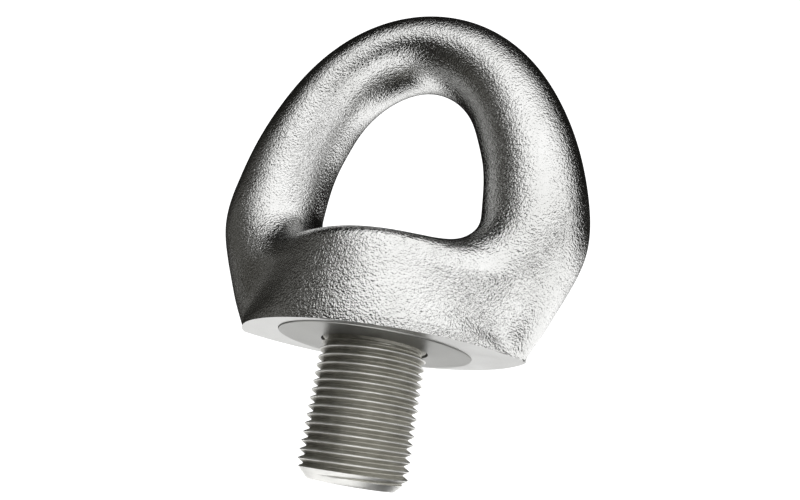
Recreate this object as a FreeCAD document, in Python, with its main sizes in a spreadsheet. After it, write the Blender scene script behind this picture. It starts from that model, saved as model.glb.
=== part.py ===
import FreeCAD, Part
import math
import os
import Sketcher

# Swivel lifting eye bolt, M20 x 1.5 fine thread.
# Millimetres, +Z up.  The origin is on the bolt axis, on the seat plane: the
# underside of the bush flange, where the bolt is tightened against the load.
# X runs across the width of the ring, Y runs through the eye.

V = FreeCAD.Vector
doc = FreeCAD.newDocument("swivel_eye_bolt")
sheet = doc.addObject("Spreadsheet::Sheet", "sizes")

# ---------------------------------------------------------------- sizes
DIMENSIONS = [
    ("eye_middle", 34.0, "middle of the eye above the seat plane"),
    # eye body: base
    ("base_gap", 0.2, "eye body underside above the seat plane"),
    ("base_half_length", 28.4, "pointed base, centre to point along X"),
    ("base_half_width", 19.9, "pointed base, centre to edge along Y"),
    ("base_land", 1.6, "height of the upright edge of the base"),
    ("boss_radius", 19.3, "round boss at its rim"),
    ("boss_top", 17.3, "rim of the boss above the seat plane"),
    ("blend_round", 2.5, "rounding of the rim and of the legs into the boss"),
    # eye body: machined bores
    ("web_top", 9.0, "floor of the head pocket"),
    ("head_pocket_radius", 14.9, "pocket for the bolt head"),
    ("sleeve_bore_radius", 13.08, "bore that turns on the bush sleeve"),
    ("flange_bore_radius", 18.45, "counterbore for the bush flange"),
    ("flange_bore_top", 3.2, "roof of the counterbore"),
    # flanged bush
    ("flange_radius", 18.3, "bush flange"),
    ("flange_height", 3.0, "thickness of the bush flange"),
    ("sleeve_radius", 13.0, "bush sleeve outside"),
    ("sleeve_top", 9.15, "top of the sleeve, above the web"),
    ("bush_bore_radius", 10.2, "bush bore around the bolt neck"),
    ("ring_recess_radius", 11.8, "recess that swallows the opened snap ring"),
    ("ring_recess_low", 5.2, "lower wall of the recess"),
    ("ring_recess_high", 6.7, "upper wall of the recess"),
    ("bush_edge", 0.12, "edge break of the bush"),
    # thrust washer
    ("washer_radius", 14.5, "thrust washer outside"),
    ("washer_bore_radius", 10.4, "thrust washer bore"),
    ("washer_height", 1.5, "thickness of the thrust washer"),
    ("washer_edge", 0.3, "edge break of the washer"),
    # bolt
    ("head_radius", 14.2, "cylindrical head"),
    ("head_height", 6.0, "height of the head"),
    ("head_edge", 0.8, "bevel round the head"),
    ("socket_flats", 14.0, "hexagon socket across flats"),
    ("socket_depth", 4.8, "depth of the hexagon socket"),
    ("neck_radius", 9.9, "plain neck inside the bush"),
    ("neck_low", 0.3, "lower end of the neck above the seat plane"),
    ("ring_groove_radius", 9.15, "bottom of the snap ring groove"),
    ("ring_groove_low", 5.35, "lower wall of the groove"),
    ("ring_groove_high", 6.55, "upper wall of the groove"),
    ("thread_radius", 10.0, "thread crest, M20"),
    ("thread_pitch", 1.5, "fine pitch"),
    ("thread_start", 0.3, "undercut below the seat plane"),
    ("undercut_radius", 8.85, "undercut between neck and thread"),
    ("tip_length", 24.7, "end of the bolt below the seat plane"),
    ("tip_radius", 7.9, "flat end of the bolt, inside its bevel"),
    # snap ring
    ("snap_inner_radius", 9.3, "snap ring inside"),
    ("snap_outer_radius", 10.9, "snap ring outside"),
    ("snap_height", 1.0, "thickness of the snap ring"),
    ("snap_low", 5.45, "underside of the snap ring"),
    ("snap_gap_half", 1.6, "half of the gap in the snap ring"),
]

# Cross-sections low on each leg, the lowest below the base: centre, turn about Y, half thickness in the
# plane of the ring and half depth along Y.
LEG_SECTIONS = [
    ("root", 13.0, -6.0, 18.0, 10.4, 5.6),
    ("foot", 16.0, 1.4, 20.0, 10.7, 6.3),
    ("ankle", 20.4, 8.2, 26.0, 10.8, 8.2),
]

# Cross-sections of the ring, each along a ray from the middle of the eye:
# angle of the ray above the horizontal, distance to the outside and to the
# inside of the bar, and half depth along Y.
RING_SECTIONS = [
    ("shin", -34.0, 40.2, 20.7, 9.7),
    ("calf", -20.0, 39.3, 18.5, 9.6),
    ("knee", -4.0, 37.0, 17.0, 9.5),
    ("hip", 14.0, 35.3, 16.7, 9.5),
    ("waist", 32.0, 35.3, 17.3, 9.4),
    ("shoulder", 50.0, 36.6, 19.3, 9.3),
    ("brow", 70.0, 38.3, 22.0, 9.2),
    ("crown", 90.0, 39.0, 23.6, 9.1),
]

row = 1
for alias, value, note in DIMENSIONS:
    sheet.set("A%d" % row, alias)
    sheet.set("B%d" % row, "%.4f" % value)
    sheet.set("C%d" % row, note)
    sheet.setAlias("B%d" % row, alias)
    row = row + 1
LEG_WORDS = ("across", "up", "turn", "bar", "deep")
RING_WORDS = ("ray", "outside", "inside", "deep")
for sections, words in ((LEG_SECTIONS, LEG_WORDS), (RING_SECTIONS, RING_WORDS)):
    for section in sections:
        for word, value in zip(words, section[1:]):
            sheet.set("A%d" % row, section[0] + "_" + word)
            sheet.set("B%d" % row, "%.4f" % value)
            sheet.setAlias("B%d" % row, section[0] + "_" + word)
            row = row + 1
doc.recompute()


def size(alias):
    """Value of one named dimension."""
    return float(sheet.get(alias))


def named(alias):
    """Expression that reads one named dimension."""
    return "<<sizes>>." + alias


def total(words):
    """Present value of a sum such as 'head_radius - head_edge'."""
    value = 0.0
    sign = 1
    for word in words.split():
        if word in "+-":
            sign = 1 if word == "+" else -1
        else:
            value = value + sign * size(word)
    return value


def formula(words):
    """Expression for a sum such as 'head_radius - head_edge'."""
    return " ".join(word if word in "+-" else named(word) for word in words.split())


# ---------------------------------------------------------------- helpers
def new_body(label):
    body = doc.addObject("PartDesign::Body", "body_" + label)
    body.Label = label
    return body


def plane_of(body, role):
    for feature in body.Origin.OriginFeatures:
        if feature.Role == role:
            return feature
    raise RuntimeError("no plane " + role)


def new_sketch(body, name, role, offset=None):
    sketch = body.newObject("Sketcher::SketchObject", name)
    sketch.AttachmentSupport = [(plane_of(body, role), "")]
    sketch.MapMode = "FlatFace"
    if offset is not None:
        sketch.AttachmentOffset = offset
    return sketch


def fix(sketch, kind, *where, expression):
    """Add a dimension and bind it to an expression."""
    index = sketch.addConstraint(Sketcher.Constraint(kind, *where))
    sketch.setExpression("Constraints[%d]" % index, expression)
    return index


def outline(sketch, points):
    """Closed outline through points given as pairs of sums.

    Each corner is (x, y) where both are sums of named dimensions; the sketch
    is drawn at the present values and every corner is held by a horizontal
    and a vertical distance to the origin.
    """
    values = []
    for across, up in points:
        values.append((total(across), total(up)))
    lines = []
    count = len(values)
    for i in range(count):
        a = values[i]
        b = values[(i + 1) % count]
        line = Part.LineSegment(V(a[0], a[1], 0), V(b[0], b[1], 0))
        lines.append(sketch.addGeometry(line, False))
    for i in range(count):
        following = lines[(i + 1) % count]
        sketch.addConstraint(Sketcher.Constraint("Coincident", lines[i], 2, following, 1))
    for i in range(count):
        for kind, part in (("DistanceX", 0), ("DistanceY", 1)):
            text = points[i][part]
            if abs(values[i][part]) < 1e-9:
                on_axis = -2 if part == 0 else -1
                sketch.addConstraint(Sketcher.Constraint("PointOnObject", lines[i], 1, on_axis))
            else:
                fix(sketch, kind, -1, 1, lines[i], 1, values[i][part], expression=formula(text))


def turn(body, sketch, name, cut=False):
    """Revolve a half-section drawn in the XZ plane about the bolt axis."""
    kind = "PartDesign::Groove" if cut else "PartDesign::Revolution"
    feature = body.newObject(kind, name)
    feature.Profile = sketch
    feature.ReferenceAxis = (sketch, ["V_Axis"])
    feature.Angle = 360.0
    return feature


def circle(sketch, alias, radius_expression=None):
    text = radius_expression or named(alias)
    index = sketch.addGeometry(Part.Circle(V(0, 0, 0), V(0, 0, 1), size(alias)), False)
    sketch.addConstraint(Sketcher.Constraint("Coincident", index, 3, -1, 1))
    fix(sketch, "Radius", index, size(alias), expression=text)
    return index


# ---------------------------------------------------------------- eye body
eye = new_body("eye_body")


def lens(sketch):
    """Pointed base outline: two equal arcs that meet on the X axis."""
    length = size("base_half_length")
    width = size("base_half_width")
    radius = (length ** 2 + width ** 2) / (2 * width)
    drop = radius - width
    half = math.asin(length / radius)
    top = Part.ArcOfCircle(
        Part.Circle(V(0, -drop, 0), V(0, 0, 1), radius), math.pi / 2 - half, math.pi / 2 + half
    )
    low = Part.ArcOfCircle(
        Part.Circle(V(0, drop, 0), V(0, 0, 1), radius), 1.5 * math.pi - half, 1.5 * math.pi + half
    )
    a = sketch.addGeometry(top, False)
    b = sketch.addGeometry(low, False)
    sketch.addConstraint(Sketcher.Constraint("Coincident", a, 2, b, 1))
    sketch.addConstraint(Sketcher.Constraint("Coincident", a, 1, b, 2))
    sketch.addConstraint(Sketcher.Constraint("PointOnObject", a, 2, -1))
    sketch.addConstraint(Sketcher.Constraint("PointOnObject", a, 3, -2))
    sketch.addConstraint(Sketcher.Constraint("PointOnObject", b, 3, -2))
    arc = "(pow(%s; 2) + pow(%s; 2)) / (2 * %s)" % (
        named("base_half_length"),
        named("base_half_width"),
        named("base_half_width"),
    )
    fix(sketch, "Radius", a, radius, expression=arc)
    fix(sketch, "Radius", b, radius, expression=arc)
    fix(sketch, "DistanceX", -1, 1, a, 1, length, expression=named("base_half_length"))


def level(alias):
    return FreeCAD.Placement(V(0, 0, size(alias)), FreeCAD.Rotation())


base_sketch = new_sketch(eye, "base_outline", "XY_Plane", level("base_gap"))
base_sketch.setExpression("AttachmentOffset.Base.z", named("base_gap"))
lens(base_sketch)
base_pad = eye.newObject("PartDesign::Pad", "base_edge")
base_pad.Profile = base_sketch
base_pad.Length = size("base_land")
base_pad.setExpression("Length", named("base_land"))

shoulder_sketch = new_sketch(eye, "boss_foot", "XY_Plane", level("base_land"))
shoulder_sketch.setExpression(
    "AttachmentOffset.Base.z", named("base_gap") + " + " + named("base_land")
)
lens(shoulder_sketch)
rim_sketch = new_sketch(eye, "boss_rim", "XY_Plane", level("boss_top"))
rim_sketch.setExpression("AttachmentOffset.Base.z", named("boss_top"))
rim_radius = size("boss_radius")
for start in (0, 1):
    rim_arc = Part.ArcOfCircle(
        Part.Circle(V(0, 0, 0), V(0, 0, 1), rim_radius), start * math.pi, (start + 1) * math.pi
    )
    rim_sketch.addGeometry(rim_arc, False)
rim_sketch.addConstraint(Sketcher.Constraint("Coincident", 0, 2, 1, 1))
rim_sketch.addConstraint(Sketcher.Constraint("Coincident", 0, 1, 1, 2))
rim_sketch.addConstraint(Sketcher.Constraint("Coincident", 0, 3, -1, 1))
rim_sketch.addConstraint(Sketcher.Constraint("Coincident", 1, 3, -1, 1))
rim_sketch.addConstraint(Sketcher.Constraint("PointOnObject", 0, 1, -1))
fix(rim_sketch, "Radius", 0, rim_radius, expression=named("boss_radius"))

boss = eye.newObject("PartDesign::AdditiveLoft", "boss")
boss.Profile = shoulder_sketch
boss.Sections = [rim_sketch]
boss.Ruled = True
doc.recompute()


def bar_section(name, station, mirror):
    """Ellipse across the bar at one section of a leg or of the ring."""
    side = -1 if mirror else 1
    if station in [section[0] for section in LEG_SECTIONS]:
        across = named(station + "_across")
        up = named(station + "_up")
        turned = named(station + "_turn")
        half_bar = named(station + "_bar")
        here_x = size(station + "_across")
        here_z = size(station + "_up")
        angle = size(station + "_turn")
        bar = size(station + "_bar")
    else:
        ray = named(station + "_ray")
        outside_name = named(station + "_outside")
        inside_name = named(station + "_inside")
        middle = "(%s + %s) / 2" % (outside_name, inside_name)
        across = "cos(%s * 1 deg) * %s" % (ray, middle)
        up = "%s + sin(%s * 1 deg) * %s" % (named("eye_middle"), ray, middle)
        turned = "-1 * " + ray
        half_bar = "(%s - %s) / 2" % (outside_name, inside_name)
        angle = -size(station + "_ray")
        reach = (size(station + "_outside") + size(station + "_inside")) / 2
        here_x = math.cos(math.radians(angle)) * reach
        here_z = size("eye_middle") - math.sin(math.radians(angle)) * reach
        bar = (size(station + "_outside") - size(station + "_inside")) / 2
    deep = size(station + "_deep")
    half_deep = named(station + "_deep")
    turn_y = FreeCAD.Rotation(V(0, 1, 0), angle * side)
    offset = FreeCAD.Placement(V(here_x * side, 0, here_z), turn_y)
    sketch = new_sketch(eye, name, "XY_Plane", offset)
    sketch.setExpression("AttachmentOffset.Base.x", "%d * %s" % (side, across))
    sketch.setExpression("AttachmentOffset.Base.z", up)
    about_y = "rotation(vector(0; 1; 0); %d * %s)" % (side, turned)
    sketch.setExpression("AttachmentOffset.Rotation", about_y)
    flat = bar >= deep
    tip = V(bar, 0, 0) if flat else V(0, deep, 0)
    flank = V(0, deep, 0) if flat else V(-bar, 0, 0)
    ellipse = sketch.addGeometry(Part.Ellipse(tip, flank, V(0, 0, 0)), False)
    sketch.exposeInternalGeometry(ellipse)
    sketch.addConstraint(Sketcher.Constraint("Coincident", ellipse, 3, -1, 1))
    along_major = "Horizontal" if flat else "Vertical"
    sketch.addConstraint(Sketcher.Constraint(along_major, ellipse + 1))
    major = half_bar if flat else half_deep
    minor = half_deep if flat else half_bar
    fix(sketch, "Distance", ellipse + 1, 2 * max(bar, deep), expression="2 * " + major)
    fix(sketch, "Distance", ellipse + 2, 2 * min(bar, deep), expression="2 * " + minor)
    return sketch


# Left foot, up round the crown and down to the right foot.
climb = [section[0] for section in LEG_SECTIONS + RING_SECTIONS]
round_ring = []
for station in climb:
    round_ring.append(bar_section("left_" + station, station, True))
for station in climb[-2::-1]:
    round_ring.append(bar_section("right_" + station, station, False))
ring = eye.newObject("PartDesign::AdditiveLoft", "ring")
ring.Profile = round_ring[0]
ring.Sections = round_ring[1:]
ring.Ruled = False
ring.Refine = False
doc.recompute()


# The roots of the legs are cut off flat, level with the underside of the base.
trim_sketch = new_sketch(eye, "underside", "XY_Plane", level("base_gap"))
trim_sketch.setExpression("AttachmentOffset.Base.z", named("base_gap"))
reach = trim_sketch.addGeometry(Part.Circle(V(0, 0, 0), V(0, 0, 1), 45.0), False)
trim_sketch.addConstraint(Sketcher.Constraint("Coincident", reach, 3, -1, 1))
fix(trim_sketch, "Radius", reach, 45.0, expression="1.6 * " + named("base_half_length"))
trim = eye.newObject("PartDesign::Pocket", "flat_underside")
trim.Profile = trim_sketch
trim.Length = 30.0
untrimmed = ring.Shape.Volume
doc.recompute()
if not 500 < untrimmed - trim.Shape.Volume < 9000:
    raise RuntimeError("the underside was not trimmed")


def dress(name, base, chosen, radius_alias):
    """Fillet the edges of the eye body that the test picks out."""
    names = []
    for number, edge in enumerate(base.Shape.Edges, 1):
        if chosen(edge):
            names.append("Edge%d" % number)
    if not names:
        raise RuntimeError("no edges for " + name)
    fillet = eye.newObject("PartDesign::Fillet", name)
    fillet.Base = (base, names)
    fillet.Radius = size(radius_alias)
    fillet.setExpression("Radius", named(radius_alias))
    doc.recompute()
    return fillet


def leg_meets_boss(edge):
    """Valley between a leg and the side of the boss."""
    box = edge.BoundBox
    beside = min(abs(box.YMin), abs(box.YMax)) > 5.0 and box.YMin * box.YMax > 0
    low = box.ZMin > size("base_land") and box.ZMax < size("boss_top") + 0.05
    return beside and low and box.ZLength > 4.0


def on_rim(edge):
    """Edges of the flat rim of the boss."""
    box = edge.BoundBox
    return box.ZLength < 0.01 and abs(box.ZMin - size("boss_top")) < 0.01


def blended(edge):
    return on_rim(edge) or leg_meets_boss(edge)


blend = dress("soft_blends", trim, blended, "blend_round")

# The three round bores of the eye body: counterbore for the bush flange, bore
# for the sleeve and pocket for the bolt head, turned as one stepped section.
bore_sketch = new_sketch(eye, "bore_section", "XZ_Plane")
outline(
    bore_sketch,
    [
        ("", "- flange_radius"),
        ("flange_bore_radius", "- flange_radius"),
        ("flange_bore_radius", "flange_bore_top"),
        ("sleeve_bore_radius", "flange_bore_top"),
        ("sleeve_bore_radius", "web_top"),
        ("head_pocket_radius", "web_top"),
        ("head_pocket_radius", "eye_middle"),
        ("", "eye_middle"),
    ],
)
turn(eye, bore_sketch, "stepped_bore", cut=True)
doc.recompute()

# ---------------------------------------------------------------- flanged bush
bush = new_body("flanged_bush")
bush_sketch = new_sketch(bush, "bush_section", "XZ_Plane")
outline(
    bush_sketch,
    [
        ("bush_bore_radius", ""),
        ("flange_radius - bush_edge", ""),
        ("flange_radius", "bush_edge"),
        ("flange_radius", "flange_height - bush_edge"),
        ("flange_radius - bush_edge", "flange_height"),
        ("sleeve_radius", "flange_height"),
        ("sleeve_radius", "sleeve_top - bush_edge"),
        ("sleeve_radius - bush_edge", "sleeve_top"),
        ("bush_bore_radius", "sleeve_top"),
        ("bush_bore_radius", "ring_recess_high"),
        ("ring_recess_radius", "ring_recess_high"),
        ("ring_recess_radius", "ring_recess_low"),
        ("bush_bore_radius", "ring_recess_low"),
    ],
)
turn(bush, bush_sketch, "bush_turned")

# ---------------------------------------------------------------- thrust washer
washer = new_body("thrust_washer")
washer_sketch = new_sketch(washer, "washer_section", "XZ_Plane")
outline(
    washer_sketch,
    [
        ("washer_bore_radius", "sleeve_top"),
        ("washer_radius - washer_edge", "sleeve_top"),
        ("washer_radius", "sleeve_top + washer_edge"),
        ("washer_radius", "sleeve_top + washer_height - washer_edge"),
        ("washer_radius - washer_edge", "sleeve_top + washer_height"),
        ("washer_bore_radius", "sleeve_top + washer_height"),
    ],
)
turn(washer, washer_sketch, "washer_turned")

# ---------------------------------------------------------------- bolt
bolt = new_body("bolt")
bolt_sketch = new_sketch(bolt, "bolt_section", "XZ_Plane")
head_low = "sleeve_top + washer_height"
head_high = head_low + " + head_height"
outline(
    bolt_sketch,
    [
        ("", head_high),
        ("", "- tip_length"),
        ("tip_radius", "- tip_length"),
        ("thread_radius", "thread_radius - tip_radius - tip_length"),
        ("thread_radius", "undercut_radius - thread_start - thread_radius"),
        ("undercut_radius", "- thread_start"),
        ("undercut_radius", "neck_low"),
        ("neck_radius", "neck_low"),
        ("neck_radius", "ring_groove_low"),
        ("ring_groove_radius", "ring_groove_low"),
        ("ring_groove_radius", "ring_groove_high"),
        ("neck_radius", "ring_groove_high"),
        ("neck_radius", head_low),
        ("head_radius", head_low),
        ("head_radius", head_high + " - head_edge"),
        ("head_radius - head_edge", head_high),
    ],
)
turn(bolt, bolt_sketch, "bolt_turned")
doc.recompute()
blank_volume = bolt.Shape.Volume

# Thread groove: a flat-bottomed 60 degree V, swept down a right-hand helix.
# It starts half a pitch below the seat plane, under the undercut, and runs out
# through the bevel of the tip.
groove_sketch = new_sketch(bolt, "thread_groove", "XZ_Plane")
pitch = size("thread_pitch")
crest_flat = 0.08 * pitch
root_flat = 0.125 * pitch
depth = (pitch - crest_flat - root_flat) / 2 / math.tan(math.radians(30))
beyond = 0.2
slope = math.tan(math.radians(30))
outer_half = root_flat / 2 + (depth + beyond) * slope
crest = size("thread_radius")
mid = -pitch / 2
corners = [
    V(crest - depth, mid - root_flat / 2, 0),
    V(crest + beyond, mid - outer_half, 0),
    V(crest + beyond, mid + outer_half, 0),
    V(crest - depth, mid + root_flat / 2, 0),
]
pitch_name = named("thread_pitch")
groove_in = "%s - (1 - 0.08 - 0.125) * %s / 2 / tan(30 deg)" % (named("thread_radius"), pitch_name)
groove_out = "%s + %.2f" % (named("thread_radius"), beyond)
open_half = "(0.46 * %s + %.2f * tan(30 deg))" % (pitch_name, beyond)
across = [groove_in, groove_out, groove_out, groove_in]
along = [
    "-0.5625 * %s" % pitch_name,
    "-0.5 * %s - %s" % (pitch_name, open_half),
    "%s - 0.5 * %s" % (open_half, pitch_name),
    "-0.4375 * %s" % pitch_name,
]
for i in range(4):
    groove_sketch.addGeometry(Part.LineSegment(corners[i], corners[(i + 1) % 4]), False)
for i in range(4):
    groove_sketch.addConstraint(Sketcher.Constraint("Coincident", i, 2, (i + 1) % 4, 1))
for i in range(4):
    fix(groove_sketch, "DistanceX", -1, 1, i, 1, corners[i].x, expression=across[i])
    fix(groove_sketch, "DistanceY", -1, 1, i, 1, corners[i].y, expression=along[i])
thread = bolt.newObject("PartDesign::SubtractiveHelix", "thread")
thread.Profile = groove_sketch
thread.ReferenceAxis = (groove_sketch, ["V_Axis"])
thread.Mode = 0
thread.Pitch = pitch
thread.setExpression("Pitch", pitch_name)
thread.Height = size("tip_length") + pitch
thread.setExpression("Height", "%s + %s" % (named("tip_length"), pitch_name))
thread.LeftHanded = False
thread.Reversed = True
doc.recompute()
if not 400 < blank_volume - bolt.Shape.Volume < 1000:
    raise RuntimeError("the thread groove has the wrong volume")

# Hexagon socket in the head.
at_head = FreeCAD.Placement(V(0, 0, total(head_high)), FreeCAD.Rotation())
socket_sketch = new_sketch(bolt, "socket_outline", "XY_Plane", at_head)
socket_sketch.setExpression("AttachmentOffset.Base.z", formula(head_high))
corner_radius = size("socket_flats") / 2 / math.cos(math.radians(30))
hexagon = []
for i in range(6):
    turned = math.radians(60 * i + 30)
    hexagon.append(V(corner_radius * math.cos(turned), corner_radius * math.sin(turned), 0))
for i in range(6):
    socket_sketch.addGeometry(Part.LineSegment(hexagon[i], hexagon[(i + 1) % 6]), False)
guide = socket_sketch.addGeometry(Part.Circle(V(0, 0, 0), V(0, 0, 1), corner_radius), True)
socket_sketch.addConstraint(Sketcher.Constraint("Coincident", guide, 3, -1, 1))
for i in range(6):
    socket_sketch.addConstraint(Sketcher.Constraint("Coincident", i, 2, (i + 1) % 6, 1))
    socket_sketch.addConstraint(Sketcher.Constraint("PointOnObject", i, 1, guide))
for i in range(1, 6):
    socket_sketch.addConstraint(Sketcher.Constraint("Equal", 0, i))
socket_sketch.addConstraint(Sketcher.Constraint("Vertical", 5))
fix(
    socket_sketch,
    "Radius",
    guide,
    corner_radius,
    expression="%s / 2 / cos(30 deg)" % named("socket_flats"),
)
before_socket = bolt.Shape.Volume
socket = bolt.newObject("PartDesign::Pocket", "hex_socket")
socket.Profile = socket_sketch
socket.Length = size("socket_depth")
socket.setExpression("Length", named("socket_depth"))
doc.recompute()
hexagon_area = size("socket_flats") ** 2 * math.sqrt(3) / 2
if abs(before_socket - bolt.Shape.Volume - hexagon_area * size("socket_depth")) > 1.0:
    raise RuntimeError("the socket has the wrong volume")

# ---------------------------------------------------------------- snap ring
snap = new_body("snap_ring")
snap_sketch = new_sketch(
    snap, "snap_outline", "XY_Plane", FreeCAD.Placement(V(0, 0, size("snap_low")), FreeCAD.Rotation())
)
snap_sketch.setExpression("AttachmentOffset.Base.z", named("snap_low"))
inside = size("snap_inner_radius")
outside = size("snap_outer_radius")
gap = size("snap_gap_half")
inside_turn = math.asin(gap / inside)
outside_turn = math.asin(gap / outside)
full = 2 * math.pi
z_up = V(0, 0, 1)
outer_arc = Part.ArcOfCircle(Part.Circle(V(0, 0, 0), z_up, outside), outside_turn, full - outside_turn)
inner_arc = Part.ArcOfCircle(Part.Circle(V(0, 0, 0), z_up, inside), inside_turn, full - inside_turn)
snap_sketch.addGeometry(outer_arc, False)
snap_sketch.addGeometry(inner_arc, False)
for side in (1, -1):
    near = V(math.sqrt(inside ** 2 - gap ** 2), side * gap, 0)
    far = V(math.sqrt(outside ** 2 - gap ** 2), side * gap, 0)
    snap_sketch.addGeometry(Part.LineSegment(near, far), False)
for arc in (0, 1):
    snap_sketch.addConstraint(Sketcher.Constraint("Coincident", arc, 3, -1, 1))
    for line, end in ((2, 1), (3, 2)):
        line_end = 2 if arc == 0 else 1
        snap_sketch.addConstraint(Sketcher.Constraint("Coincident", arc, end, line, line_end))
fix(snap_sketch, "Radius", 0, outside, expression=named("snap_outer_radius"))
fix(snap_sketch, "Radius", 1, inside, expression=named("snap_inner_radius"))
snap_sketch.addConstraint(Sketcher.Constraint("Horizontal", 2))
snap_sketch.addConstraint(Sketcher.Constraint("Horizontal", 3))
fix(snap_sketch, "DistanceY", -1, 1, 2, 1, gap, expression=named("snap_gap_half"))
fix(snap_sketch, "DistanceY", -1, 1, 3, 1, -gap, expression="-" + named("snap_gap_half"))
snap_pad = snap.newObject("PartDesign::Pad", "snap_pad")
snap_pad.Profile = snap_sketch
snap_pad.Length = size("snap_height")
snap_pad.setExpression("Length", named("snap_height"))
doc.recompute()

# ---------------------------------------------------------------- check and write
for item in doc.Objects:
    if "Invalid" in item.State or "Error" in item.State:
        raise RuntimeError("failed: " + item.Name)
subparts = [eye, bush, washer, bolt, snap]
for piece in subparts:
    if piece.Shape.isNull() or not piece.Shape.isValid() or len(piece.Shape.Solids) != 1:
        raise RuntimeError("not one valid solid: " + piece.Label)
os.makedirs("parts", exist_ok=True)
for piece in subparts:
    piece.Shape.exportStep(os.path.join("parts", piece.Label + ".step"))
    box = piece.Shape.optimalBoundingBox()
    print(piece.Label, "volume %.0f" % piece.Shape.Volume, "z %.2f to %.2f" % (box.ZMin, box.ZMax))
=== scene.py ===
import math

import bmesh
import bpy
import numpy as np
from mathutils import Matrix, Vector


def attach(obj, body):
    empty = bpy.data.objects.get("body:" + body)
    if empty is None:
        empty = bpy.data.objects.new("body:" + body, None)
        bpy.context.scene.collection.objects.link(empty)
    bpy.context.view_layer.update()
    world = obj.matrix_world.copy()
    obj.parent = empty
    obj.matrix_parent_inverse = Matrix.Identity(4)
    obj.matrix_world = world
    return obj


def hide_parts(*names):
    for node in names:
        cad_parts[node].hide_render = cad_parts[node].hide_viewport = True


# Looks of the swivel lifting eye bolt.  Metres, +Z up, seat plane at z = 0.
# Shapes below are worked out in millimetres and turned into metres at the end.

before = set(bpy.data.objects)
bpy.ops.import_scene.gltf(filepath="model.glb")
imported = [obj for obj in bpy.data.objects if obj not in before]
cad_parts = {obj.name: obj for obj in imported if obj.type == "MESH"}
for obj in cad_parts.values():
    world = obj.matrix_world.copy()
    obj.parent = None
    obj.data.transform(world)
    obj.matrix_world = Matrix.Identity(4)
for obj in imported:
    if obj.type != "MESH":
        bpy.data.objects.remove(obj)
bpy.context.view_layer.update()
MM = 0.001
TAU = 2 * math.pi


# ---------------------------------------------------------------- mesh helpers
def new_piece(name, points, faces, body, looks):
    """Mesh object from points in millimetres, riding on a CAD body."""
    mesh = bpy.data.meshes.new(name)
    mesh.from_pydata((np.asarray(points) * MM).tolist(), [], [list(map(int, f)) for f in faces])
    for look in looks:
        mesh.materials.append(look)
    mesh.validate()
    mesh.update()
    piece = bpy.data.objects.new(name, mesh)
    bpy.context.scene.collection.objects.link(piece)
    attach(piece, body)
    return piece


def smooth_by_angle(mesh, degrees):
    """Smooth shading, with the edges that turn by more than the angle left sharp."""
    mesh.polygons.foreach_set("use_smooth", np.ones(len(mesh.polygons), bool))
    mesh.set_sharp_from_angle(angle=math.radians(degrees))
    mesh.update()


def lathe(profile, columns):
    """Closed solid of revolution about Z from (radius, z) corners, the axis at both ends."""
    pts = []
    rows = []
    for radius, z in profile:
        if radius == 0:
            rows.append([len(pts)])
            pts.append((0.0, 0.0, z))
            continue
        rows.append(list(range(len(pts), len(pts) + columns)))
        for j in range(columns):
            a = TAU * j / columns
            pts.append((radius * math.cos(a), radius * math.sin(a), z))
    faces = []
    for low, high in zip(rows, rows[1:]):
        for j in range(columns):
            k = (j + 1) % columns
            if len(low) == 1:
                faces.append((low[0], high[k], high[j]))
            elif len(high) == 1:
                faces.append((low[j], low[k], high[0]))
            else:
                faces.append((low[j], low[k], high[k], high[j]))
    return pts, faces


# ---------------------------------------------------------------- eye body shape
EYE_MIDDLE = 34.0
BASE_GAP = 0.2
BASE_HALF_LENGTH = 28.4
BASE_HALF_WIDTH = 19.9
BASE_LAND = 1.8
BOSS_RADIUS = 19.3
BOSS_TOP = 17.6
RIM_ROUND = 2.2
# reach of the blend between ring and boss: tight up to a height, then growing over a length
BLEND_TIGHT, BLEND_WIDE = 0.8, 16.0
BLEND_FROM, BLEND_OVER = 0.8, 12.0

# across, up, turn in degrees, half bar, half depth; the bar ends are within 0.5 mm of the CAD's
LEG_SECTIONS = [
    (13.0, -6.0, 18.0, 10.4, 5.6),
    (16.0, 1.4, 20.0, 10.7, 6.3),
    (20.1, 8.2, 26.0, 10.6, 8.2),
]
# ray in degrees, distance to the outside, to the inside, half depth; within 0.2 mm of the CAD
RING_SECTIONS = [
    (-34.0, 40.35, 20.7, 9.7),
    (-20.0, 39.4, 18.5, 9.6),
    (-4.0, 37.0, 17.0, 9.5),
    (14.0, 35.3, 16.7, 9.5),
    (32.0, 35.3, 17.3, 9.4),
    (50.0, 36.6, 19.3, 9.3),
    (70.0, 38.3, 22.0, 9.2),
    (90.0, 39.0, 23.6, 9.1),
]
CURVE_SAMPLES = 420
# the grid on which the forged shape is sampled: its box and its spacing
GRID_LOW, GRID_HIGH = (-38.6, -21.6, -2.4), (38.6, 21.6, 75.0)
GRID_STEP = 0.5
FAR_BELOW = -60.0
TINY = 1e-6


def section_ends():
    """Outer end, inner end and half depth of each section, left root to right root."""
    outer, inner, deep = [], [], []
    for across, up, turn, bar, depth in LEG_SECTIONS:
        c, s = math.cos(math.radians(turn)), math.sin(math.radians(turn))
        outer.append((across + bar * c, up - bar * s))
        inner.append((across - bar * c, up + bar * s))
        deep.append(depth)
    for ray, outside, inside, depth in RING_SECTIONS:
        c, s = math.cos(math.radians(ray)), math.sin(math.radians(ray))
        outer.append((c * outside, EYE_MIDDLE + s * outside))
        inner.append((c * inside, EYE_MIDDLE + s * inside))
        deep.append(depth)
    left = [[(-x, z) for x, z in ends] for ends in (outer, inner)]
    both = [left[k] + ends[-2::-1] for k, ends in ((0, outer), (1, inner))]
    return np.array(both[0]), np.array(both[1]), np.array(deep + deep[-2::-1])


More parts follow.
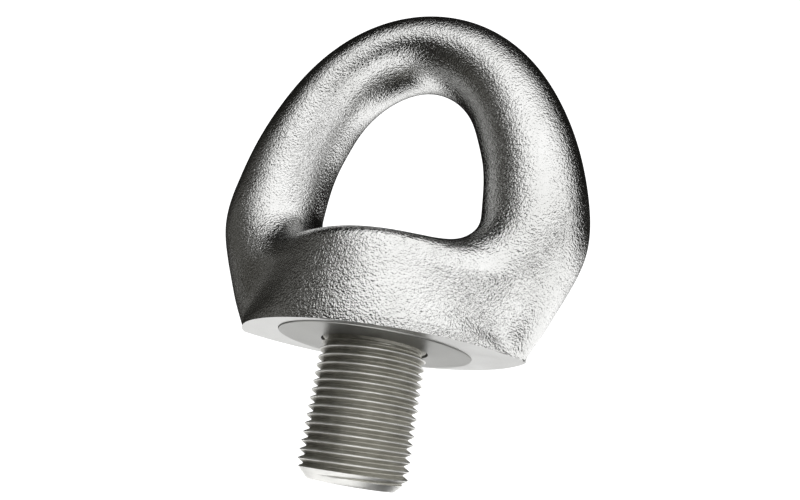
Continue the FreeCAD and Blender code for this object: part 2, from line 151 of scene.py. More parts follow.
def natural_spline(knots, values, at):
    """Natural cubic spline through values (columns) at the knots, read at new places."""
    n = len(knots)
    h = np.diff(knots)
    system = np.zeros((n, n))
    right = np.zeros((n,) + values.shape[1:])
    system[0, 0] = system[-1, -1] = 1
    for i in range(1, n - 1):
        system[i, i - 1 : i + 2] = h[i - 1], 2 * (h[i - 1] + h[i]), h[i]
        right[i] = 6 * ((values[i + 1] - values[i]) / h[i] - (values[i] - values[i - 1]) / h[i - 1])
    bend = np.linalg.solve(system, right)
    i = np.clip(np.searchsorted(knots, at) - 1, 0, n - 2)
    extra = (slice(None),) + (None,) * (values.ndim - 1)
    a, b, w = (knots[i + 1] - at)[extra], (at - knots[i])[extra], h[i][extra]
    return (
        bend[i] * a**3 / (6 * w)
        + bend[i + 1] * b**3 / (6 * w)
        + (values[i] / w - bend[i] * w / 6) * a
        + (values[i + 1] / w - bend[i + 1] * w / 6) * b
    )


def curve_maps(px, pz, curve):
    """Signed distance to an open curve closed far below (positive inside), and place along it."""
    best = np.full(px.shape, np.inf)
    along = np.zeros(px.shape)
    inside = np.zeros(px.shape, bool)
    count = len(curve)
    closed = list(curve) + [(curve[-1][0], FAR_BELOW), (curve[0][0], FAR_BELOW), curve[0]]
    for i in range(len(closed) - 1):
        (ax, az), (bx, bz) = closed[i], closed[i + 1]
        dx, dz = bx - ax, bz - az
        if i < count - 1:
            t = np.clip(((px - ax) * dx + (pz - az) * dz) / (dx * dx + dz * dz), 0, 1)
            gap = np.hypot(px - ax - t * dx, pz - az - t * dz)
            nearer = gap < best
            best = np.where(nearer, gap, best)
            along = np.where(nearer, i + t, along)
        if az != bz:
            crosses = ((az > pz) != (bz > pz)) & (px < dx * (pz - az) / dz + ax)
            inside ^= crosses
    return np.where(inside, best, -best), along / (count - 1)


def smooth_union(a, b, reach):
    """The smaller of two fields, rounded where they are within reach of each other."""
    h = np.clip(reach - np.abs(a - b), 0, None) / reach
    return np.minimum(a, b) - h**3 * reach / 6


def ring_field(y, flat):
    """Field of the bent bar; its section is an ellipse between the two curves."""
    gap_out, gap_in, half_deep = flat
    u = (gap_in - gap_out) / (gap_in + gap_out)
    half_bar = (gap_in + gap_out) / 2
    k = np.sqrt(u**2 + (y / half_deep) ** 2) + TINY
    slope = np.sqrt((u / half_bar) ** 2 + (y / half_deep**2) ** 2) + TINY
    return k * (k - 1) / slope


def boss_field(x, y, z):
    """Field of the boss: pointed like a lens at the base, round at the top, with a round rim."""
    radius = (BASE_HALF_LENGTH**2 + BASE_HALF_WIDTH**2) / (2 * BASE_HALF_WIDTH)
    drop = radius - BASE_HALF_WIDTH
    lens = np.hypot(x, np.abs(y) + drop) - radius
    t = np.clip((z - BASE_LAND) / (BOSS_TOP - BASE_LAND), 0, 1)
    wall = (1 - t) * lens + t * (np.hypot(x, y) - BOSS_RADIUS)
    a, b = wall + RIM_ROUND, z - BOSS_TOP + RIM_ROUND
    outside = np.hypot(np.maximum(a, 0), np.maximum(b, 0))
    return np.minimum(np.maximum(a, b), 0) + outside - RIM_ROUND


def eye_field(x, y, z, flat):
    """Signed field of the forged eye body at grid points; flat holds the maps in XZ."""
    # the blend is tight at the base corners and wide where the legs leave the boss
    growth = np.clip((z - BLEND_FROM) / BLEND_OVER, 0, 1)
    reach = BLEND_TIGHT + (BLEND_WIDE - BLEND_TIGHT) * growth
    return smooth_union(ring_field(y, flat), boss_field(x, y, z), reach)


def net_points(field, below, origin, step):
    """One point in each grid cell that the surface passes, and the cells' point numbers."""
    nx, ny, nz = field.shape
    corners = [(i, j, k) for i in (0, 1) for j in (0, 1) for k in (0, 1)]

    def part(a, c):
        return a[c[0] : nx - 1 + c[0], c[1] : ny - 1 + c[1], c[2] : nz - 1 + c[2]]

    count = sum(part(below, c).astype(np.int8) for c in corners)
    cells = np.argwhere((count > 0) & (count < len(corners)))
    index = np.full((nx - 1, ny - 1, nz - 1), -1, np.int64)
    index[tuple(cells.T)] = np.arange(len(cells))
    total = np.zeros((len(cells), 3))
    hits = np.zeros(len(cells))
    for a in corners:
        for axis in range(3):
            if a[axis]:
                continue
            b = list(a)
            b[axis] = 1
            fa = field[tuple((cells + a).T)]
            fb = field[tuple((cells + b).T)]
            cut = (fa < 0) != (fb < 0)
            spot = np.tile(np.array(a, float), (len(cells), 1))
            spot[:, axis] = np.where(cut, fa / np.where(cut, fa - fb, 1), 0)
            total[cut] += spot[cut]
            hits[cut] += 1
    return origin + (cells + total / hits[:, None]) * step, index


def net_quads(below, index):
    """A quad across each grid edge whose ends lie on different sides of the surface."""
    quads = []
    for axis in range(3):
        u, v = (axis + 1) % 3, (axis + 2) % 3
        low = [slice(1, -1)] * 3
        high = [slice(1, -1)] * 3
        low[axis] = slice(0, -1)
        high[axis] = slice(1, None)
        a, b = below[tuple(low)], below[tuple(high)]
        for flipped, edges in ((False, a & ~b), (True, ~a & b)):
            spots = np.argwhere(edges)
            for d in range(3):
                if d != axis:
                    spots[:, d] += 1
            rows = []
            for du, dv in ((0, 0), (-1, 0), (-1, -1), (0, -1)):
                at = spots.copy()
                at[:, u] += du
                at[:, v] += dv
                rows.append(index[tuple(at.T)])
            quad = np.stack(rows, 1)
            quads.append(quad[:, ::-1] if flipped else quad)
    return np.concatenate(quads)


def forged_eye_mesh():
    """Points and quads of the eye body before the machining."""
    outer, inner, deep = section_ends()
    middle = (outer + inner) / 2
    knots = np.concatenate([[0], np.cumsum(np.linalg.norm(np.diff(middle, axis=0), axis=1))])
    at = np.linspace(0, knots[-1], CURVE_SAMPLES)
    outer, inner, deep = (natural_spline(knots, values, at) for values in (outer, inner, deep))
    low, high = np.array(GRID_LOW), np.array(GRID_HIGH)
    counts = np.ceil((high - low) / GRID_STEP).astype(int) + 1
    x, y, z = (low[i] + GRID_STEP * np.arange(counts[i]) for i in range(3))
    gx, gz = np.meshgrid(x, z, indexing="ij")
    gap_out, _ = curve_maps(gx, gz, outer)
    gap_in, along = curve_maps(gx, gz, inner)
    half_deep = np.interp(along, np.linspace(0, 1, len(deep)), deep)
    flat = [m[:, None, :] for m in (gap_out, -gap_in, half_deep)]
    field = eye_field(x[:, None, None], y[None, :, None], z[None, None, :], flat)
    below = field < 0
    points, index = net_points(field, below, low, GRID_STEP)
    return points, net_quads(below, index)


# ---------------------------------------------------------------- material helpers
class Wires:
    """Short way to add and link shader nodes."""

    def __init__(self, tree):
        self.tree = tree

    def node(self, kind, **values):
        """New node; a value goes to the node's property of that name, or else to its input."""
        made = self.tree.nodes.new(kind)
        for key, value in values.items():
            if hasattr(made, key):
                setattr(made, key, value)
            else:
                made.inputs[key].default_value = value
        return made

    def link(self, a, b):
        self.tree.links.new(a, b)

    def math(self, operation, a, b=None):
        """Result of a math node; a and b are numbers or outputs."""
        made = self.node("ShaderNodeMath", operation=operation)
        for i, value in enumerate((a, b)):
            if value is None:
                continue
            if isinstance(value, (int, float)):
                made.inputs[i].default_value = value
            else:
                self.link(value, made.inputs[i])
        return made.outputs[0]

    def add(self, a, b):
        return self.math("ADD", a, b)

    def times(self, a, b):
        return self.math("MULTIPLY", a, b)

    def noise(self, where, scale, detail=2.0, rough=0.5, distortion=0.0):
        values = {"Scale": scale, "Detail": detail, "Roughness": rough, "Distortion": distortion}
        made = self.node("ShaderNodeTexNoise", **values)
        self.link(where, made.inputs["Vector"])
        return made.outputs["Fac"]

    def dimples(self, where, scale):
        """Distance to the nearest of many scattered spots."""
        made = self.node("ShaderNodeTexVoronoi", Scale=scale)
        self.link(where, made.inputs["Vector"])
        return made.outputs["Distance"]

    def ramp(self, value, low, low_colour, high, high_colour):
        """One colour up to the low value, the other from the high value on."""
        made = self.node("ShaderNodeValToRGB")
        stops = ((low, low_colour), (high, high_colour))
        for element, (place, colour) in zip(made.color_ramp.elements, stops):
            element.position = place
            element.color = (*colour, 1)
        self.link(value, made.inputs["Fac"])
        return made.outputs["Color"]

    def towards(self, factor, colour, plain):
        """Blend of a linked colour towards a plain one."""
        made = self.node("ShaderNodeMix", data_type="RGBA")
        factor_in, colour_in, plain_in = (made.inputs[i] for i in (0, 6, 7))
        self.link(factor, factor_in)
        self.link(colour, colour_in)
        plain_in.default_value = (*plain, 1)
        return made.outputs[2]

    def span(self, value, low, high, to_low, to_high, kind="LINEAR"):
        """Value carried from one range to another, and held at its ends."""
        made = self.node("ShaderNodeMapRange", interpolation_type=kind)
        limits = {"From Min": low, "From Max": high, "To Min": to_low, "To Max": to_high}
        for key, number in limits.items():
            made.inputs[key].default_value = number
        self.link(value, made.inputs["Value"])
        return made.outputs["Result"]

    def bump(self, height, strength, distance, normal=None):
        made = self.node("ShaderNodeBump", Strength=strength, Distance=distance)
        self.link(height, made.inputs["Height"])
        if normal is not None:
            self.link(normal, made.inputs["Normal"])
        return made.outputs["Normal"]


def material(name):
    """New material with its wires and its shader."""
    made = bpy.data.materials.new(name)
    made.use_nodes = True
    return made, Wires(made.node_tree), made.node_tree.nodes["Principled BSDF"]


def object_place(w):
    return w.node("ShaderNodeTexCoord").outputs["Object"]


def round_the_bolt(w, place):
    """Distance from the bolt axis, and height, in metres."""
    split = w.node("ShaderNodeSeparateXYZ")
    w.link(place, split.inputs[0])
    x, y, z = split.outputs
    return w.math("SQRT", w.add(w.times(x, x), w.times(y, y))), z


def tool_marks(w, radial, height, scale):
    """Noise that runs round the bolt axis, as the marks of a lathe tool do."""
    join = w.node("ShaderNodeCombineXYZ")
    w.link(radial, join.inputs[0])
    w.link(height, join.inputs[2])
    return w.noise(join.outputs[0], scale, rough=0.6)


# ---------------------------------------------------------------- materials
# Noise scales are per metre; bump depths and radii are in metres.
BLAST_GRAIN, BLAST_FINE, BLAST_DIMPLES = 2300, 4600, 2400
BLAST_LUMPS, BLAST_PATCHES = 260, 90
BLAST_DARK, BLAST_LIGHT = (0.60, 0.60, 0.59), (0.70, 0.70, 0.695)
BLAST_ROUGHNESS = (0.15, 0.23)
GRAIN_DEPTH, LUMP_DEPTH = 0.22 * MM, 0.4 * MM

TURNED_MARKS, TURNED_CLOUD, TURNED_FINE = 9000, 150, 5200
TURNED_DEPTH = 0.06 * MM

THREAD_MARKS, THREAD_CLOUD, THREAD_FINE = 14000, 420, 4200
THREAD_DEPTH = 0.05 * MM
FLANK_DARK, FLANK_LIGHT = (0.42, 0.41, 0.37), (0.54, 0.53, 0.485)
# near-white colour of the painted highlight on the crests and the tip cone
PAINTED_HIGHLIGHT_WHITE = (0.88, 0.875, 0.85)
THREAD_ROUGHNESS = (0.42, 0.6)
# radii over which the painted highlight fades in towards the crests
CREST_HIGHLIGHT_FADE = (9.72 * MM, 9.96 * MM)
# radius minus height: 32.6 mm on the tip cone, under the limit on the flat end and the thread; the cone
# above the limit gets the painted highlight
CONE_HIGHLIGHT_LIMIT = 32.54 * MM


def blasted_steel(name):
    """Shot-blasted stainless forging: fine peened grain over soft unevenness."""
    made, w, shader = material(name)
    place = object_place(w)
    grain = w.noise(place, BLAST_GRAIN, detail=1.0, distortion=0.3)
    fine = w.noise(place, BLAST_FINE, detail=1.0)
    dimples = w.dimples(place, BLAST_DIMPLES)
    lumps = w.noise(place, BLAST_LUMPS)
    patches = w.noise(place, BLAST_PATCHES, detail=3.0, rough=0.55)
    height = w.add(w.add(grain, w.times(fine, 0.3)), w.times(dimples, 0.25))
    soft = w.bump(lumps, strength=0.25, distance=LUMP_DEPTH)
    peened = w.bump(height, strength=0.55, distance=GRAIN_DEPTH, normal=soft)
    w.link(peened, shader.inputs["Normal"])
    w.link(w.ramp(patches, 0.3, BLAST_DARK, 0.7, BLAST_LIGHT), shader.inputs["Base Color"])
    w.link(w.span(w.add(patches, grain), 0.7, 1.3, *BLAST_ROUGHNESS), shader.inputs["Roughness"])
    shader.inputs["Metallic"].default_value = 1.0
    return made


def turned_steel(name, base, rough, edge=1.0, strength=0.25):
    """Machined stainless steel with tool marks; edge is its brightness at grazing angles."""
    made, w, shader = material(name)
    place = object_place(w)
    radial, height = round_the_bolt(w, place)
    marks = tool_marks(w, radial, height, TURNED_MARKS)
    cloud = w.noise(place, TURNED_CLOUD, detail=3.0, rough=0.6)
    fine = w.noise(place, TURNED_FINE, rough=0.6)
    relief = w.add(marks, w.times(fine, 0.3))
    w.link(w.bump(relief, strength, TURNED_DEPTH), shader.inputs["Normal"])
    dark = tuple(c * 0.92 for c in base)
    light = tuple(c * 1.06 for c in base)
    stain = w.add(w.times(cloud, 0.6), w.times(marks, 0.4))
    w.link(w.ramp(stain, 0.35, dark, 0.65, light), shader.inputs["Base Color"])
    w.link(w.span(cloud, 0.3, 0.7, rough * 0.85, rough * 1.15), shader.inputs["Roughness"])
    shader.inputs["Specular Tint"].default_value = (edge, edge, edge, 1)
    shader.inputs["Metallic"].default_value = 1.0
    return made


def threaded_steel(name):
    """Rolled thread: dull flanks and roots; the crests and the tip cone coloured near-white, a painted
    highlight.
    """
    made, w, shader = material(name)
    place = object_place(w)
    radial, height = round_the_bolt(w, place)
    # masks of the painted highlight: the crests below the seat plane and the tip cone
    crest = w.times(w.span(radial, *CREST_HIGHLIGHT_FADE, 0, 1), w.math("LESS_THAN", height, 0.0))
    cone = w.math("GREATER_THAN", w.math("SUBTRACT", radial, height), CONE_HIGHLIGHT_LIMIT)
    painted_highlight = w.math("MAXIMUM", crest, cone)
    marks = tool_marks(w, radial, height, THREAD_MARKS)
    cloud = w.noise(place, THREAD_CLOUD, detail=3.0, rough=0.6)
    fine = w.noise(place, THREAD_FINE, rough=0.6)
    relief = w.add(marks, w.times(fine, 0.8))
    w.link(w.bump(relief, strength=0.35, distance=THREAD_DEPTH), shader.inputs["Normal"])
    flank = w.ramp(cloud, 0.3, FLANK_DARK, 0.7, FLANK_LIGHT)
    # flank colour, turned near-white where the highlight is painted
    w.link(w.towards(painted_highlight, flank, PAINTED_HIGHLIGHT_WHITE), shader.inputs["Base Color"])
    dull = w.math("SUBTRACT", cloud, w.times(painted_highlight, 0.3))
    w.link(w.span(dull, 0.2, 0.8, *THREAD_ROUGHNESS), shader.inputs["Roughness"])
    shader.inputs["Metallic"].default_value = 1.0
    return made


eye_steel = blasted_steel("blasted_stainless")
eye_bored = turned_steel("machined_faces", (0.56, 0.56, 0.55), 0.34, edge=0.85)
bush_steel = turned_steel("turned_bush", (0.45, 0.45, 0.435), 0.36, edge=0.62, strength=0.4)
washer_steel = turned_steel("ground_washer", (0.5, 0.5, 0.49), 0.3)
bolt_steel = threaded_steel("satin_thread")
spring_steel = turned_steel("spring_steel", (0.28, 0.28, 0.28), 0.35)

# ---------------------------------------------------------------- eye body piece
RECESS_RADIUS, RECESS_TOP = 18.34, 3.2
SLEEVE_RADIUS, SLEEVE_TOP = 13.08, 9.0
POCKET_RADIUS = 14.9
CUTTER_LOW, CUTTER_HIGH = -3.0, 34.0
BORE_COLUMNS = 256
EYE_SHARP_ANGLE = 40


def face_underside(mesh):
    """Cuts the forging off flat, just above the seat plane, and closes it."""
    work = bmesh.new()
    work.from_mesh(mesh)
    everything = work.verts[:] + work.edges[:] + work.faces[:]
    level = (0, 0, BASE_GAP * MM)
    bmesh.ops.bisect_plane(
        work, geom=everything, plane_co=level, plane_no=(0, 0, -1), clear_outer=True, dist=1e-8
    )
    rim = [e for e in work.edges if e.is_boundary]
    made = bmesh.ops.contextual_create(work, geom=rim)
    for face in made["faces"]:
        face.material_index = 1
    bmesh.ops.recalc_face_normals(work, faces=work.faces[:])
    work.to_mesh(mesh)
    work.free()


def bore_cutter():
    """What the machining takes out: flange recess, sleeve bore and head pocket."""
    profile = [
        (0, CUTTER_LOW),
        (RECESS_RADIUS, CUTTER_LOW),
        (RECESS_RADIUS, RECESS_TOP),
        (SLEEVE_RADIUS, RECESS_TOP),
        (SLEEVE_RADIUS, SLEEVE_TOP),
        (POCKET_RADIUS, SLEEVE_TOP),
        (POCKET_RADIUS, CUTTER_HIGH),
        (0, CUTTER_HIGH),
    ]
    pts, faces = lathe(profile, BORE_COLUMNS)
    mesh = bpy.data.meshes.new("cutter")
    mesh.from_pydata((np.array(pts) * MM).tolist(), [], faces)
    mesh.materials.append(eye_steel)
    mesh.materials.append(eye_bored)
    mesh.polygons.foreach_set("material_index", np.ones(len(faces), np.int32))
    cutter = bpy.data.objects.new("cutter", mesh)
    bpy.context.scene.collection.objects.link(cutter)
    return cutter


def machine_eye(piece):
    """Flat underside, then the stepped bore cut with an exact boolean."""
    forged = piece.data
    face_underside(forged)
    cutter = bore_cutter()
    cut = piece.modifiers.new("bores", "BOOLEAN")
    cut.operation = "DIFFERENCE"
    cut.solver = "EXACT"
    cut.object = cutter
    bpy.context.view_layer.update()
    done = bpy.data.meshes.new_from_object(piece.evaluated_get(bpy.context.evaluated_depsgraph_get()))
    piece.modifiers.clear()
    piece.data = done
    used_up = (forged, cutter.data)
    bpy.data.objects.remove(cutter)
    for mesh in used_up:
        bpy.data.meshes.remove(mesh)


points, quads = forged_eye_mesh()
eye = new_piece("eye_forged", points, quads, "eye", [eye_steel, eye_bored])
machine_eye(eye)
smooth_by_angle(eye.data, EYE_SHARP_ANGLE)
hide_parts("eye_body")

# ---------------------------------------------------------------- bolt piece
PITCH = 1.5
COLUMNS = 192
CREST = 10.0
CORE = 8.85
THREAD_LOW, THREAD_HIGH = -23.66, -0.3
# turns counted from the seat plane; the rows past the thread's ends are held there and welded
FIRST_TURN, LAST_TURN = -18, 3
GROOVE_PHASE = -0.75
# growth of the blank's radius per millimetre below the upper end of the thread
RUN_OUT = 2.2
TIP_LENGTH = 24.7
TIP_RADIUS = 7.9
# height above the middle of a groove and radius, up to the crest
HALF_THREAD = [
    (0.0, 8.955),
    (0.06, 8.965),
    (0.11, 9.0),
    (0.17, 9.09),
    (0.30, 9.324),
    (0.45, 9.584),
    (0.62, 9.878),
    (0.675, 9.955),
    (0.71, 9.99),
    (0.75, 10.0),
]
NECK_RADIUS, NECK_LOW = 9.9, 0.3
GROOVE_RADIUS = 9.15
GROOVE_LOW, GROOVE_HIGH = 5.35, 6.55
EDGE = 0.1
HEAD_RADIUS = 14.2
HEAD_LOW, HEAD_HIGH = 10.65, 16.65
# half of the 14 mm across the flats
SOCKET_HALF = 7.0
SOCKET_FLOOR, SOCKET_CENTRE = 11.86, 11.2
MOUTH_RADIUS, MOUTH_HEIGHT, MOUTH_SLOPE = 8.45, 16.6, 0.6
WELD_DISTANCE = 2e-7
BOLT_SHARP_ANGLE = 33


def thread_points(angle):
    """Rows of points that climb one pitch per turn, each turn of rows above the last."""
    turn_rows = HALF_THREAD + [(PITCH - h, r) for h, r in HALF_THREAD[-2:0:-1]]
    turns = range(FIRST_TURN, LAST_TURN)
    heights = np.array([GROOVE_PHASE + PITCH * k + h for k in turns for h, _ in turn_rows])
    radii = np.array([r for _ in turns for _, r in turn_rows])
    z = heights[:, None] + PITCH * np.arange(COLUMNS)[None, :] / COLUMNS
    z = np.clip(z, THREAD_LOW, THREAD_HIGH)
    blank = np.minimum(TIP_RADIUS + z + TIP_LENGTH, CORE + RUN_OUT * (THREAD_HIGH - z))
    r = np.minimum(radii[:, None], np.minimum(blank, CREST))
    pts = np.stack([r * np.cos(angle), r * np.sin(angle), z], 2).reshape(-1, 3)
    return pts.tolist(), len(heights), len(turn_rows)


def thread_faces(count, per_turn):
    """Quads of the thread; past the last column a row goes on as the row one turn higher."""
    faces = []
    for i in range(count - 1):
        for j in range(COLUMNS):
            if j + 1 < COLUMNS:
                a, b = i * COLUMNS + j + 1, (i + 1) * COLUMNS + j + 1
            else:
                a = min(i + per_turn, count - 1) * COLUMNS
                b = min(i + 1 + per_turn, count - 1) * COLUMNS
            faces.append((i * COLUMNS + j, a, b, (i + 1) * COLUMNS + j))
    return faces


def tip_profile():
    """Radius and height of the flat end, its rounding and the cone up to the thread."""
    return [
        (4.0, -TIP_LENGTH),
        (TIP_RADIUS - 0.1, -TIP_LENGTH),
        (TIP_RADIUS + 0.05, -TIP_LENGTH + 0.07),
        (TIP_RADIUS + 0.4, -TIP_LENGTH + 0.4),
        (TIP_RADIUS + 0.8, -TIP_LENGTH + 0.8),
        (TIP_RADIUS + TIP_LENGTH + THREAD_LOW, THREAD_LOW),
    ]


def head_profile(hexagon):
    """Radius and height from the thread's upper end to the socket floor."""
    undercut = [(CORE, THREAD_HIGH), (CORE, NECK_LOW - 0.08), (CORE + 0.08, NECK_LOW)]
    neck = [
        (NECK_RADIUS - EDGE, NECK_LOW),
        (NECK_RADIUS, NECK_LOW + EDGE),
        (NECK_RADIUS, GROOVE_LOW - EDGE),
        (NECK_RADIUS - EDGE, GROOVE_LOW),
        (GROOVE_RADIUS, GROOVE_LOW),
        (GROOVE_RADIUS, GROOVE_HIGH),
        (NECK_RADIUS - EDGE, GROOVE_HIGH),
        (NECK_RADIUS, GROOVE_HIGH + EDGE),
        (NECK_RADIUS, HEAD_LOW - 2 * EDGE),
        (NECK_RADIUS + 2 * EDGE, HEAD_LOW),
    ]
    head = [
        (HEAD_RADIUS - 0.3, HEAD_LOW),
        (HEAD_RADIUS - 0.08, HEAD_LOW + 0.07),
        (HEAD_RADIUS, HEAD_LOW + 0.25),
        (HEAD_RADIUS, HEAD_HIGH - 0.85),
        (HEAD_RADIUS - 0.06, HEAD_HIGH - 0.68),
        (HEAD_RADIUS - 0.65, HEAD_HIGH - 0.09),
        (HEAD_RADIUS - 0.85, HEAD_HIGH),
    ]
    socket = [
        (MOUTH_RADIUS + 0.17, HEAD_HIGH),
        (MOUTH_RADIUS, MOUTH_HEIGHT),
        (hexagon, MOUTH_HEIGHT - (MOUTH_RADIUS - hexagon) * MOUTH_SLOPE),
        (hexagon, SOCKET_FLOOR + 0.14),
        (hexagon - 0.15, SOCKET_FLOOR),
        (SOCKET_HALF * 0.8, SOCKET_FLOOR),
    ]
    return undercut + neck + head + socket


def bolt_mesh():
    """Right-hand rolled thread, shank, head and hexagon socket on one ring of columns."""
    angle = TAU * np.arange(COLUMNS) / COLUMNS
    pts, count, per_turn = thread_points(angle)
    faces = thread_faces(count, per_turn)

    def ring(radius, height):
        """Row of points; radius and height may each be one number or one per column."""
        start = len(pts)
        rr = np.broadcast_to(radius, (COLUMNS,))
        zz = np.broadcast_to(height, (COLUMNS,))
        pts.extend(np.stack([rr * np.cos(angle), rr * np.sin(angle), zz], 1).tolist())
        return start

    def band(rows):
        for low, high in zip(rows, rows[1:]):
            for j in range(COLUMNS):
                k = (j + 1) % COLUMNS
                faces.append((low + j, low + k, high + k, high + j))

    def cap(row, height, upward):
        centre = len(pts)
        pts.append([0.0, 0.0, height])
        for j in range(COLUMNS):
            k = (j + 1) % COLUMNS
            faces.append((row + j, row + k, centre) if upward else (row + k, row + j, centre))

    rows = [ring(radius, height) for radius, height in tip_profile()]
    band(rows)
    cap(rows[0], -TIP_LENGTH, False)

    fold = np.abs((angle + math.pi / 6) % (math.pi / 3) - math.pi / 6)
    hexagon = SOCKET_HALF / np.cos(fold)
    rows = [ring(radius, height) for radius, height in head_profile(hexagon)]
    band(rows)
    cap(rows[-1], SOCKET_CENTRE, True)
    return pts, faces


def weld(piece):
    """Joins the rows that were held at the ends of the thread and drops empty faces."""
    work = bmesh.new()
    work.from_mesh(piece.data)
    bmesh.ops.remove_doubles(work, verts=work.verts[:], dist=WELD_DISTANCE)
    bmesh.ops.dissolve_degenerate(work, edges=work.edges[:], dist=WELD_DISTANCE)
    loose = [v for v in work.verts if not v.link_faces]
    bmesh.ops.delete(work, geom=loose, context="VERTS")
    bmesh.ops.recalc_face_normals(work, faces=work.faces[:])
    work.to_mesh(piece.data)
    work.free()


points, faces = bolt_mesh()
bolt = new_piece("bolt_turned", points, faces, "bolt", [bolt_steel])
weld(bolt)
smooth_by_angle(bolt.data, BOLT_SHARP_ANGLE)
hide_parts("bolt")

# the CAD shapes of these three stay, with new materials
kept_looks = {"flanged_bush": bush_steel, "thrust_washer": washer_steel, "snap_ring": spring_steel}
for name, look in kept_looks.items():
    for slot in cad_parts[name].material_slots:
        slot.material = look

# ---------------------------------------------------------------- studio
scene = bpy.context.scene
# White panels all round the object: what each is for, azimuth, elevation, strength.
PANELS = [
    ("key, high in front", 12, 34, 11.5),
    ("front right, low", 45, -20, 3.0),
    ("front right, high", 50, 42, 2.0),
    ("right side", 90, -8, 2.0),
    ("right, high", 78, 30, 1.0),
    ("right rear", 122, -15, 1.5),
    ("rear right", 150, -8, 1.4),
    ("rear", 180, -8, 1.7),
    ("rear left, low", -150, -20, 1.9),
    ("left, far below", -110, -52, 1.8),
    ("rear left, dim", -104, -4, 0.6),
    ("left, dim", -78, 14, 0.52),
    ("front left, dim", -50, 16, 0.4),
    ("soft left side of the key", -30, 25, 0.55),
    ("front, far below", 15, -50, 2.0),
    ("straight below", 0, -85, 2.2),
]
PANEL_SHARPNESS = 20.0
# below the first level there is no panel, above the second it is at full brightness
PANEL_EDGE = (0.47, 1.0)
BRIGHT = 1.43
PANEL_WHITE = (BRIGHT, BRIGHT, 0.995 * BRIGHT)
ROOM_DARK, ROOM_LIGHT = 0.006, 0.05
ROOM_GLOW, ROOM_SHARPNESS = (-75, -8), 7.0
ROOM_PATCHES, ROOM_UNEVEN = 5.0, (0.6, 1.4)
# light from the panels' soft sides that still reaches the gaps between them
SPILL = 0.06
BLACK, WARM = (0.0, 0.0, 0.0), (1.0, 0.965, 0.85)
BACKDROP_STRENGTH = 1.3

FLOOR_HALF, FLOOR_HEIGHT = 6.0, -0.16


def toward(azimuth, elevation):
    """Unit vector; azimuth 0 is the -Y side, 90 the +X side."""
    a, e = math.radians(azimuth), math.radians(elevation)
    return (math.sin(a) * math.cos(e), -math.cos(a) * math.cos(e), math.sin(e))


def glow_from(w, direction, aim, sharpness):
    """One in the aimed direction, falling off smoothly around it."""
    near = w.node("ShaderNodeVectorMath", operation="DOT_PRODUCT")
    near.inputs[1].default_value = toward(*aim)
    w.link(direction, near.inputs[0])
    fall = w.times(w.math("SUBTRACT", near.outputs["Value"], 1.0), sharpness)
    return w.math("EXPONENT", fall)


def make_world():
    """Flat panels with fairly crisp edges, in a dim and uneven room; plain white behind."""
    world = bpy.data.worlds.new("studio")
    scene.world = world
    world.use_nodes = True
    w = Wires(world.node_tree)
    background = world.node_tree.nodes["Background"]
    output = world.node_tree.nodes["World Output"]
    direction = w.node("ShaderNodeTexCoord").outputs["Generated"]
    level = None
    for _, azimuth, elevation, strength in PANELS:
        glow = w.times(glow_from(w, direction, (azimuth, elevation), PANEL_SHARPNESS), strength)
        level = glow if level is None else w.add(glow, level)
    panel = w.span(level, *PANEL_EDGE, 0, 1, kind="SMOOTHSTEP")
    uneven = w.span(w.noise(direction, ROOM_PATCHES, detail=1.0), 0.35, 0.65, *ROOM_UNEVEN)
    room = w.times(glow_from(w, direction, ROOM_GLOW, ROOM_SHARPNESS), uneven)
    room = w.add(w.times(room, ROOM_LIGHT), ROOM_DARK)
    dim = w.add(room, w.times(w.math("MINIMUM", level, 1.0), SPILL))
    gaps = w.ramp(dim, 0.0, BLACK, 1.0, WARM)
    w.link(w.towards(panel, gaps, PANEL_WHITE), background.inputs["Color"])

    backdrop = w.node("ShaderNodeBackground", Color=(1, 1, 1, 1), Strength=BACKDROP_STRENGTH)
    mix = w.node("ShaderNodeMixShader")
    w.link(w.node("ShaderNodeLightPath").outputs["Is Camera Ray"], mix.inputs[0])
    w.link(background.outputs[0], mix.inputs[1])
    w.link(backdrop.outputs[0], mix.inputs[2])
    w.link(mix.outputs[0], output.inputs["Surface"])


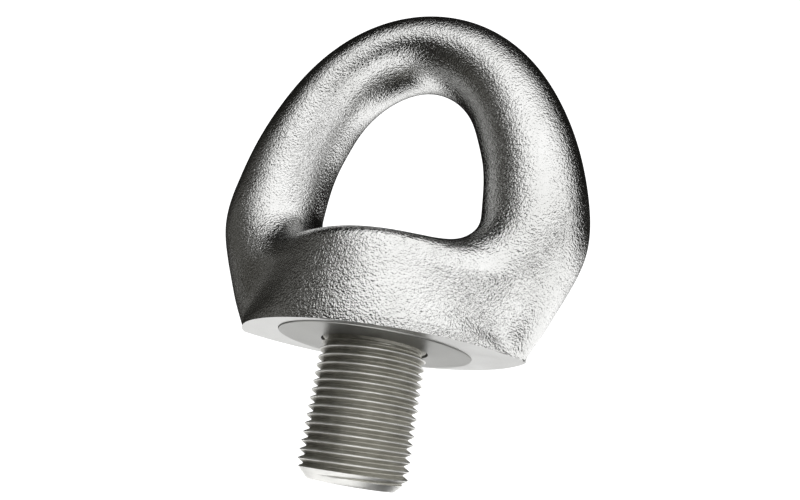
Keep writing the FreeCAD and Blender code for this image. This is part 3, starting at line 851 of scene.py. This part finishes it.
def make_floor():
    """Plain pale floor, kept out of the reflections so that the metal keeps its contrast."""
    mesh = bpy.data.meshes.new("floor")
    signs = ((-1, -1), (1, -1), (1, 1), (-1, 1))
    mesh.from_pydata([(a * FLOOR_HALF, b * FLOOR_HALF, FLOOR_HEIGHT) for a, b in signs], [], [(0, 1, 2, 3)])
    floor = bpy.data.objects.new("floor", mesh)
    scene.collection.objects.link(floor)
    look, _, shader = material("pale_floor")
    shader.inputs["Base Color"].default_value = (0.9, 0.9, 0.9, 1)
    shader.inputs["Roughness"].default_value = 0.9
    shader.inputs["Emission Color"].default_value = (1, 1, 1, 1)
    shader.inputs["Emission Strength"].default_value = 1.0
    mesh.materials.append(look)
    floor.visible_glossy = False
    floor.visible_shadow = False


# Camera: direction from the seat to the camera, then its own turns, in degrees.
CAMERA_AZIMUTH, CAMERA_ELEVATION = 20.552, -9.316
CAMERA_ROLL, CAMERA_PAN, CAMERA_TILT = 9.752, -2.396, -8.692
CAMERA_DISTANCE = 0.12101
SENSOR_WIDTH, LENS = 36.0, 28.49418
SHIFT_X, SHIFT_Y = -0.0014375, 0.00034375
CLIP_NEAR, CLIP_FAR = 0.005, 30.0


def turned(first, second, degrees):
    """Two crossing unit vectors, turned in their own plane from the first to the second."""
    c, s = math.cos(math.radians(degrees)), math.sin(math.radians(degrees))
    return c * first + s * second, c * second - s * first


def set_camera():
    """Low three-quarter view from the front right, the bolt leaning a little."""
    back = Vector(toward(CAMERA_AZIMUTH, CAMERA_ELEVATION))
    place = back * CAMERA_DISTANCE
    right = Vector((0, 0, 1)).cross(back).normalized()
    up = back.cross(right)
    right, up = turned(right, up, CAMERA_ROLL)
    back, right = turned(back, right, CAMERA_PAN)
    back, up = turned(back, up, CAMERA_TILT)
    data = bpy.data.cameras.new("camera")
    data.sensor_width = SENSOR_WIDTH
    data.lens = LENS
    data.shift_x = SHIFT_X
    data.shift_y = SHIFT_Y
    data.clip_start = CLIP_NEAR
    data.clip_end = CLIP_FAR
    camera = bpy.data.objects.new("camera", data)
    rows = Matrix((right, up, back)).transposed().to_4x4()
    camera.matrix_world = Matrix.Translation(place) @ rows
    scene.collection.objects.link(camera)
    scene.camera = camera


make_world()
make_floor()
set_camera()
scene.view_settings.view_transform = "Standard"
scene.view_settings.look = "None"
